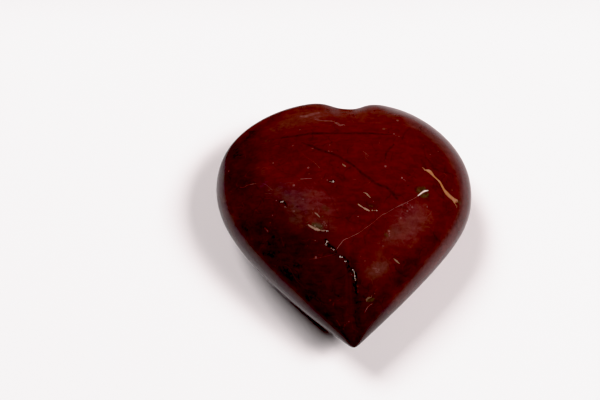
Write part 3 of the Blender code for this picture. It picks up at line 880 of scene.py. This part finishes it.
def beside_path(near, points, normals, widths):
    """Where places lie by a laid path, in half widths: how far from it, to its side, and beyond its end."""
    best = np.full(len(near), np.inf)
    across = np.zeros(len(near))
    beyond = np.zeros(len(near))
    for i in range(len(points) - 1):
        step = points[i + 1] - points[i]
        length = np.linalg.norm(step)
        along = step / length if length > 0 else np.cross([0.0, 1.0, 0.0], normals[i])
        along = along / np.linalg.norm(along)
        side = np.cross(normals[i], along)
        run = (near - points[i]) @ along
        held = np.clip(run, 0.0, length)
        offset = near - points[i] - held[:, None] * along
        distance = np.linalg.norm(offset, axis=1)
        width = widths[i] + (widths[i + 1] - widths[i]) * (held / length if length > 0 else 0.0)
        aside = offset @ side
        first, last = i == 0, i == len(points) - 2
        ends = ((run < 0) & first) | ((run > length) & last)
        better = distance / width < best
        best = np.where(better, distance / width, best)
        across = np.where(better, np.where(ends, aside, np.copysign(distance, aside)) / width, across)
        beyond = np.where(better, np.where(ends, run - held, 0.0) / width, beyond)
    return best, across, beyond


def mark_coordinates(places, surface, marks):
    """Coordinates of points of the stone round the marks, in half widths: beyond an end, and to the side. The
    third number is the mark's strength. Points far from every mark get FAR for both."""
    stored = np.tile([FAR, FAR, 0.0], (len(places), 1))
    nearest = np.full(len(places), FAR)
    for mark in marks:
        points, normals, widths = laid_path(surface, mark)
        if len(points) == 1:
            points = np.vstack([points, points])
            normals = np.vstack([normals, normals])
            widths = np.append(widths, widths)
        reach = max(MARK_REACH * widths.max(), LEAST_REACH)
        boxed = (places > points.min(0) - reach) & (places < points.max(0) + reach)
        close = np.all(boxed, axis=1).nonzero()[0]
        best, across, beyond = beside_path(places[close], points, normals, widths)
        taken = (best < nearest[close]) & (best < reach / widths.min())
        taken &= np.minimum(np.hypot(across, beyond), best) * widths.max() < reach * CORNER_REACH
        chosen = close[taken]
        nearest[chosen] = best[taken]
        stored[chosen] = np.stack(
            [np.clip(beyond[taken], -FAR, FAR), np.clip(across[taken], -FAR, FAR),
             np.full(taken.sum(), mark.strength)], axis=1)
    return stored


def widths_away(mesh, surface, marks):
    """How far each point of the mesh is from the nearest mark's middle line, in half widths."""
    stored = mark_coordinates(mesh_points(mesh), surface, marks)
    return np.hypot(stored[:, 0], stored[:, 1])


def cloud_and_painted_light_levels(places, surface, clouds_and_painted_light):
    """How much lighter or darker the cloudy patches make the stone at each place: the stone's own tone, with
    painted light, shade and sheen among it.
    """
    level = np.zeros(len(places))
    for cloud_and_painted_light in clouds_and_painted_light:
        points, _, widths = laid_path(surface, cloud_and_painted_light)
        nearest = np.full(len(places), np.inf)
        for point, width in zip(points, widths):
            nearest = np.minimum(nearest, np.linalg.norm(places - point, axis=1) / width)
        level += cloud_and_painted_light.strength * np.exp(-nearest ** 2)
    return level


def mesh_points(mesh):
    """The places of a mesh's points."""
    flat = np.empty(len(mesh.vertices) * 3)
    mesh.vertices.foreach_get("co", flat)
    return flat.reshape(-1, 3)


def surface_of(mesh):
    """A mesh's faces, ready to be looked at along a line."""
    mesh.calc_loop_triangles()
    triangles = [tuple(t.vertices) for t in mesh.loop_triangles]
    return BVHTree.FromPolygons([v.co for v in mesh.vertices], triangles)


def refine_round(mesh, marks, surface):
    """Splits the faces in and near the marks into finer ones."""
    inside = widths_away(mesh, surface, marks) < REFINED_TO
    stone = bmesh.new()
    stone.from_mesh(mesh)
    edges = [e for e in stone.edges if inside[e.verts[0].index] or inside[e.verts[1].index]]
    bmesh.ops.subdivide_edges(stone, edges=edges, cuts=2, use_grid_fill=True)
    bmesh.ops.triangulate(stone, faces=stone.faces)
    stone.to_mesh(mesh)
    stone.free()


def sink_pits(mesh, marks, surface):
    """Sinks the pits below the polish, with an uneven floor."""
    places = mesh_points(mesh)
    away = widths_away(mesh, surface, marks)
    normals = [v.normal.copy() for v in mesh.vertices]
    for i in (away < PIT_EDGE).nonzero()[0]:
        place = Vector(places[i])
        lumps = 0.5 + 0.5 * noise.noise(place * (1.0 / PIT_LUMP))
        step = min((PIT_EDGE - away[i] - PIT_RAGGED * lumps) / PIT_SLOPE, 1.0)
        if step > 0:
            depth = PIT_DEPTH * step * step * (3 - 2 * step) * (PIT_FLOOR + PIT_ROUGHNESS * lumps)
            mesh.vertices[i].co = place - normals[i] * depth


def lay_marks(mesh, surface):
    """Stores each kind of mark's coordinates on the stone's points, for its material, and how far the cloudy
    patches lighten or darken it, painted light and shade among them.
    """
    places = mesh_points(mesh)
    for name, marks in MARKS.items():
        attribute = mesh.attributes.new(name, "FLOAT_VECTOR", "POINT")
        attribute.data.foreach_set("vector", mark_coordinates(places, surface, marks).ravel())
    attribute = mesh.attributes.new("cloud_and_painted_light", "FLOAT", "POINT")
    attribute.data.foreach_set("value", cloud_and_painted_light_levels(places, surface, CLOUDS_AND_PAINTED_LIGHT))


def zoned_colour(t, place):
    """The stone itself: crimson and brick red clots, with a near-black corner at the lower left. The cloudy
    patches then lighten and darken it, and among them are painted light and shade along the edges and painted
    sheen.
    """
    clots = t.ramp(t.noise(place, 8.0, detail=3.0, distortion=1.2), 0.38, 0.62)
    elsewhere = t.vector_math("ADD", place, (31.0, 17.0, 5.0))
    rust = t.ramp(t.noise(elsewhere, 5.5, detail=4.0, distortion=0.6), 0.52, 0.72, high=0.75)
    colour = t.mix(rust, t.mix(clots, CRIMSON, BRICK), RUST)
    deep = t.mix(t.ramp(t.noise(place, 5.0, detail=3.0, distortion=0.8), 0.4, 0.6), WINE, UMBER)

    wander = t.math("MULTIPLY", t.math("SUBTRACT", t.noise(place, 11.0), 0.5), ZONE_WANDER)
    fray = t.math("MULTIPLY", t.math("SUBTRACT", t.noise(place, 2.8, detail=4.0), 0.5), ZONE_FRAY)
    level = t.vector_math("DOT_PRODUCT", place, ZONE_FACING)
    level = t.math("ADD", t.math("ADD", level, wander), fray)
    colour = t.mix(t.ramp(level, ZONE_EDGE - ZONE_BLEND, ZONE_EDGE + ZONE_BLEND), deep, colour)

    # the cloudy patches: the stone's tone, with painted light and shade along the edges and painted sheen
    cloud_and_painted_light = t.node("ShaderNodeAttribute", attribute_name="cloud_and_painted_light").outputs["Fac"]
    torn = t.ramp(t.noise(place, 3.2, detail=4.0, distortion=0.5), 0.3, 0.7, low=0.6, high=1.4)
    return t.scaled(colour, t.math("POWER", 2.0, t.math("MULTIPLY", cloud_and_painted_light, torn)))


def grown_texture(t, place, colour):
    """Streaks, mottling, fine grain and healed cracks in the stone's colour."""
    turned = t.node("ShaderNodeMapping", {
        "Vector": place, "Rotation": (0.0, 0.0, STREAK_TURN), "Scale": STREAK_STRETCH}).outputs[0]
    streaks = t.ramp(t.noise(turned, 1.3, detail=4.0, distortion=0.5), 0.36, 0.66, low=0.90, high=1.09)
    mottles = t.ramp(t.noise(place, 2.2, detail=5.0, distortion=0.9), 0.34, 0.66, low=0.89, high=1.10)
    grain = t.ramp(t.noise(place, 0.5, detail=4.0), 0.3, 0.7, low=0.955, high=1.045)
    colour = t.scaled(colour, t.math("MULTIPLY", t.math("MULTIPLY", streaks, mottles), grain))

    drift = t.node("ShaderNodeTexNoise", {"Vector": place, "Scale": 0.16, "Detail": 3.0}).outputs[1]
    bent = t.vector_math("ADD", place, t.scaled(drift, SEAM_BEND))
    seam = t.ramp(t.cell_edges(bent, SEAMS_PER_MM), 0.035, 0.008)
    patchy = t.ramp(t.noise(place, 6.0), 0.45, 0.6)
    shade = t.math("MULTIPLY", t.math("MULTIPLY", seam, patchy), SEAM_SHADE)
    colour = t.scaled(colour, t.math("SUBTRACT", 1.0, shade))

    bent = t.vector_math("ADD", bent, (40.0, 9.0, 3.0))
    broken = t.ramp(t.noise(place, 3.0, detail=3.0), 0.5, 0.62)
    thread = t.math("MULTIPLY", t.ramp(t.cell_edges(bent, THREADS_PER_MM), 0.012, 0.003), broken)
    return t.mix(t.math("MULTIPLY", thread, THREAD_STRENGTH), colour, FADED_PINK)


def scattered_specks(t, place, colour):
    """Fine pale and dark specks all through the stone."""
    for specks in SPECKS:
        moved = t.vector_math("ADD", place, specks.offset)
        cells = t.node("ShaderNodeTexVoronoi", {"Vector": moved, "Scale": 1.0 / specks.spacing})
        chance = t.node("ShaderNodeSeparateXYZ", {0: cells.outputs["Color"]}).outputs["X"]
        wide = t.ramp(chance, specks.empty, 1.0, high=specks.radius * 2.0)
        inside = t.math("SUBTRACT", wide, cells.outputs["Distance"])
        colour = t.mix(t.ramp(inside, 0.0, 0.05, high=specks.strength), colour, specks.colour)
    return colour


def finished_marks(t, place, colour, rough):
    """Lays every kind of mark over the stone's colour and roughness."""
    for name, finish in FINISHES.items():
        amount = t.math("MULTIPLY", t.mark(name, place, finish), finish.cover, clamp=True)
        mottled = t.ramp(t.noise(place, 0.9, detail=3.0), 0.35, 0.65)
        colour = t.mix(amount, colour, t.mix(mottled, finish.colour, finish.second))
        rough = t.node("ShaderNodeMix", {0: amount, 2: rough, 3: finish.roughness}).outputs[0]
    return colour, rough


def polish(t, place, shader):
    """A hand polish, with the slightest ripple."""
    shader.inputs["IOR"].default_value = POLISH_IOR
    ripple = t.noise(place, RIPPLE_SIZE)
    bump = t.node("ShaderNodeBump", {"Strength": 1.0, "Distance": RIPPLE_DEPTH, "Height": ripple})
    t.tree.links.new(bump.outputs["Normal"], shader.inputs["Normal"])


def new_material(name):
    """A material, its node tree, its shader, and the place on the piece in millimetres."""
    material = bpy.data.materials.new(name)
    material.use_nodes = True
    t = Tree(material.node_tree)
    place = t.scaled(t.node("ShaderNodeTexCoord").outputs["Object"], 1.0 / MM)
    return material, t, material.node_tree.nodes["Principled BSDF"], place


def jasper():
    """Red jasper with a hand polish."""
    material, t, shader, place = new_material("red_jasper")
    colour = grown_texture(t, place, zoned_colour(t, place))
    colour = scattered_specks(t, place, colour)
    rough = t.ramp(t.noise(place, 3.5, detail=4.0), 0.3, 0.7, *JASPER_ROUGHNESS)
    colour, rough = finished_marks(t, place, colour, rough)
    t.tree.links.new(colour, shader.inputs["Base Color"])
    t.tree.links.new(rough, shader.inputs["Roughness"])
    polish(t, place, shader)
    return material


def quartz():
    """Milky quartz grains."""
    material, t, shader, place = new_material("milky_quartz")
    colour = t.mix(t.ramp(t.noise(place, 0.5), 0.4, 0.62), WHITE_QUARTZ, CREAM)
    rough = t.ramp(t.noise(place, 0.3), 0.3, 0.7, *QUARTZ_ROUGHNESS)
    t.tree.links.new(colour, shader.inputs["Base Color"])
    t.tree.links.new(rough, shader.inputs["Roughness"])
    return material


def grains_tree():
    """Scatters small faceted grains over the beds that it is given."""
    t = new_geometry_tree("grains_in_their_beds", ["Spacing", "Smallest", "Largest", "Densest"])
    given = t.node("NodeGroupInput").outputs
    spread = t.node("GeometryNodeDistributePointsOnFaces", {
        "Mesh": given["Geometry"], "Distance Min": given["Spacing"], "Density Max": given["Densest"],
        "Seed": 7}, distribute_method="POISSON")
    grain = t.node("GeometryNodeMeshIcoSphere", {"Radius": 1.0, "Subdivisions": 1}).outputs[0]
    sizes = t.node("FunctionNodeRandomValue", {"Seed": 3}, data_type="FLOAT_VECTOR")
    for socket, name in enumerate(("Smallest", "Largest")):
        size = t.node("ShaderNodeCombineXYZ", {axis: given[name] for axis in range(3)}).outputs[0]
        t.tree.links.new(size, sizes.inputs[socket])
    turns = t.node("FunctionNodeRandomValue", {0: (0.0, 0.0, 0.0), 1: GRAIN_TURNS, "Seed": 5},
                   data_type="FLOAT_VECTOR").outputs[0]
    turns = t.node("FunctionNodeEulerToRotation", {0: turns}).outputs[0]
    placed = t.node("GeometryNodeInstanceOnPoints", {
        "Points": spread.outputs["Points"], "Instance": grain, "Rotation": turns,
        "Scale": sizes.outputs[0]}).outputs[0]
    whole = t.node("GeometryNodeRealizeInstances", {"Geometry": placed}).outputs[0]
    flat = t.node("GeometryNodeSetShadeSmooth", {"Geometry": whole, "Shade Smooth": False}).outputs[0]
    finished = t.node("GeometryNodeSetMaterial", {"Geometry": flat, "Material": given["Material"]})
    t.node("NodeGroupOutput", {0: finished.outputs[0]})
    return t.tree


def grain_beds(mesh, surface):
    """The faces of the stone that the quartz grains grow on."""
    away = widths_away(mesh, surface, QUARTZ_GRAINS)
    beds = bmesh.new()
    beds.from_mesh(mesh)
    bare = [f for f in beds.faces if max(away[v.index] for v in f.verts) > BED_EDGE]
    bmesh.ops.delete(beds, geom=bare, context="FACES")
    bed = bpy.data.meshes.new("grain_beds")
    beds.to_mesh(bed)
    beds.free()
    return bed


def stone():
    """The polished stone, with its marks and pits, and the quartz grains in them."""
    heart = made_by_tree("polished_heart", flat_heart(), puffing_tree(), {
        "Upper height": UPPER_HEIGHT, "Lower height": LOWER_HEIGHT, "Rim height": RIM_HEIGHT,
        "Wave depth": WAVE_DEPTH, "Wave size": WAVE_SIZE, "Waves from": WAVES_FROM, "Material": jasper()})
    surface = surface_of(heart.data)
    refine_round(heart.data, PITS + QUARTZ_GRAINS, surface)
    lay_marks(heart.data, surface)
    sink_pits(heart.data, PITS, surface)
    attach(heart, "root")
    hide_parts("jasper_heart")

    grains = made_by_tree("quartz_grains", grain_beds(heart.data, surface), grains_tree(), {
        "Spacing": GRAIN_SPACING, "Smallest": SMALLEST_GRAIN, "Largest": LARGEST_GRAIN,
        "Densest": DENSEST_GRAINS, "Material": quartz()})
    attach(grains, "root")


def pale_floor():
    """A plain pale material. Its colour is painted softly darker beyond the floor's bright part, as shade
    where the light falls off.
    """
    material = bpy.data.materials.new("pale_floor")
    material.use_nodes = True
    shader = material.node_tree.nodes["Principled BSDF"]
    t = Tree(material.node_tree)
    place = t.vector_math("SUBTRACT", t.node("ShaderNodeTexCoord").outputs["Object"], FLOOR_MIDDLE)
    past_lit = t.vector_math("SUBTRACT", t.vector_math("ABSOLUTE", place), FLOOR_LIT)
    outside = t.vector_math("MAXIMUM", past_lit, (0.0, 0.0, 0.0))
    far = t.vector_math("LENGTH", t.vector_math("DIVIDE", outside, FLOOR_FALL))
    # painted shade: the colour darkens where the light falls off
    lit = t.ramp(far, 0.0, 1.0, low=1.0, high=FLOOR_DARKEST)
    t.tree.links.new(t.scaled(FLOOR_COLOUR, lit), shader.inputs["Base Color"])
    shader.inputs["Roughness"].default_value = FLOOR_ROUGHNESS
    shader.inputs["Specular IOR Level"].default_value = FLOOR_SHINE
    return material


def floor():
    """A plain pale sheet."""
    left, right = FLOOR_SIDES
    front, back = FLOOR_ENDS
    corners = [(left, front, 0.0), (right, front, 0.0), (right, back, 0.0), (left, back, 0.0)]
    mesh = bpy.data.meshes.new("floor")
    mesh.from_pydata(corners, [], [(0, 1, 2, 3)])
    mesh.materials.append(pale_floor())
    sheet = bpy.data.objects.new("floor", mesh)
    bpy.context.scene.collection.objects.link(sheet)


def camera():
    """The camera, which sees the stone from the photograph's viewing angle."""
    data = bpy.data.cameras.new("camera")
    data.sensor_width = SENSOR_WIDTH
    data.lens = SENSOR_WIDTH / 2 / math.tan(VIEW_WIDTH / 2)
    data.clip_start = 0.01
    eye = bpy.data.objects.new("camera", data)
    eye.location, _, _, forward = view_axes()
    eye.rotation_euler = forward.to_track_quat("-Z", "Y").to_euler()
    bpy.context.scene.collection.objects.link(eye)
    bpy.context.scene.camera = eye


def towards(azimuth, elevation):
    """A direction: azimuth in degrees from +Y towards +X, elevation in degrees above the horizon."""
    azimuth, elevation = math.radians(azimuth), math.radians(elevation)
    level = math.cos(elevation)
    return Vector((level * math.sin(azimuth), level * math.cos(azimuth), math.sin(elevation)))


def room():
    """A dim room that shows in the polish: a warm glow low down behind, and a pale low wall to the right."""
    world = bpy.data.worlds.new("room")
    world.use_nodes = True
    t = Tree(world.node_tree)
    way = t.node("ShaderNodeTexCoord").outputs["Generated"]
    up = t.node("ShaderNodeSeparateXYZ", {0: way}).outputs["Z"]

    def seen_at(heights, azimuth, sides):
        """How much of a part of the room there is in each direction."""
        side = t.ramp(t.vector_math("DOT_PRODUCT", way, tuple(towards(azimuth, 0))), *sides)
        return t.math("MULTIPLY", t.ramp(up, *heights), side)

    light = t.mix(seen_at(GLOW_HEIGHTS, GLOW_AZIMUTH, GLOW_SIDES), DIM_ROOM, WARM_GLOW)
    light = t.mix(seen_at(WALL_HEIGHTS, WALL_AZIMUTH, WALL_SIDES), light, PALE_WALL)
    light = t.mix(t.node("ShaderNodeLightPath").outputs["Is Camera Ray"], light, BACKDROP)
    t.tree.links.new(light, world.node_tree.nodes["Background"].inputs["Color"])
    bpy.context.scene.world = world


def softbox(name, lamp):
    """Hangs a soft rectangular lamp that faces the stone."""
    data = bpy.data.lights.new(name, "AREA")
    data.shape = "RECTANGLE"
    data.size, data.size_y = lamp.size
    data.energy = lamp.radiance * math.pi * lamp.size[0] * lamp.size[1]
    data.color = lamp.colour
    hung = bpy.data.objects.new(name, data)
    way = towards(lamp.azimuth, lamp.elevation)
    hung.location = Vector((0.0, 0.0, RIM_HEIGHT)) + way * lamp.distance
    hung.rotation_euler = way.to_track_quat("Z", "Y").to_euler()
    hung.visible_glossy = lamp.in_polish
    hung.visible_diffuse = not lamp.in_polish
    bpy.context.scene.collection.objects.link(hung)


def tones():
    """The picture's tones: a slight cut of the blacks, and highlights that roll off below white."""
    view = bpy.context.scene.view_settings
    view.view_transform = "Standard"
    view.look = "None"
    view.use_curve_mapping = True
    curves = view.curve_mapping
    curves.black_level = (BLACK_CUT, BLACK_CUT, BLACK_CUT)
    curves.clip_max_x = ROLLED_LIGHTS[-1]
    roll = curves.curves[3]
    roll.points[0].location = (0.0, 0.0)
    roll.points[1].location = (0.5, 0.5)
    for light in ROLLED_LIGHTS:
        tone = light / (1.0 + (light / HIGHEST_TONE) ** ROLL_HARDNESS) ** (1 / ROLL_HARDNESS)
        roll.points.new((light - BLACK_CUT) / (1.0 - BLACK_CUT), (tone - BLACK_CUT) / (1.0 - BLACK_CUT))
    curves.update()


def lighting():
    """The room, the lamps and the picture's tones."""
    room()
    for name, lamp in LAMPS.items():
        softbox(name, lamp)
    tones()


stone()
floor()
camera()
lighting()
